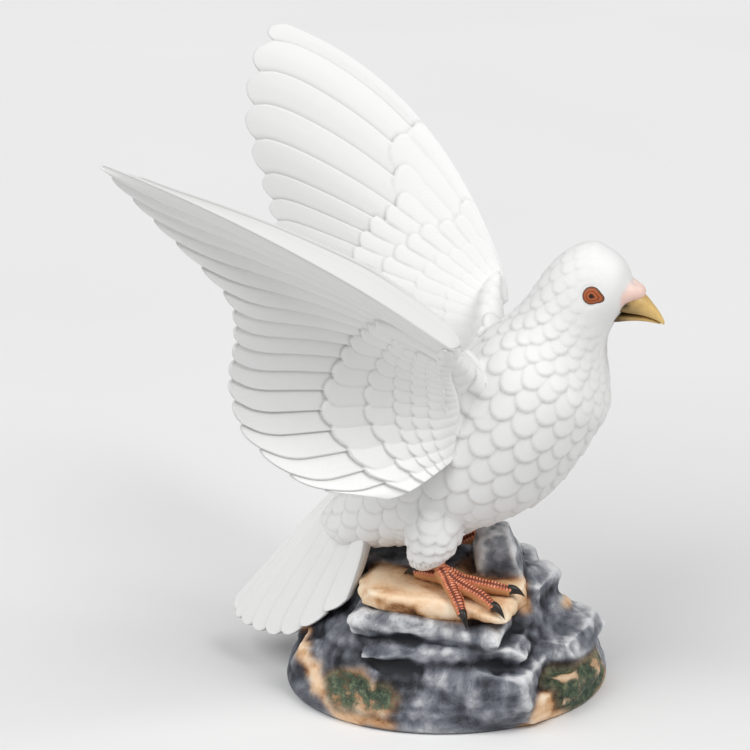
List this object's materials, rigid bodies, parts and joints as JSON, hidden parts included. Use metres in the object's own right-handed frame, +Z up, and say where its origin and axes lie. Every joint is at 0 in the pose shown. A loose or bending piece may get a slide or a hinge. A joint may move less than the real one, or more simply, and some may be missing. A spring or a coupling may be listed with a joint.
{
  "type": "dove statue",
  "caption": "White bisque porcelain dove with raised wings and fanned tail, standing on a painted rock base, cast as one piece",
  "frame": {"origin": "centre of the rock base's flat underside", "axes": "+Z up, +X the way the dove looks, +Y towards its left wing"},
  "size_m": [0.2179, 0.2585, 0.2719],
  "materials": {
    "bisque_porcelain": "matte, hand painted on the rock, feet, beak and eyes"
  },
  "bodies": {
    "root": {"dove_statue": "bisque_porcelain"}
  },
  "joints": []
}
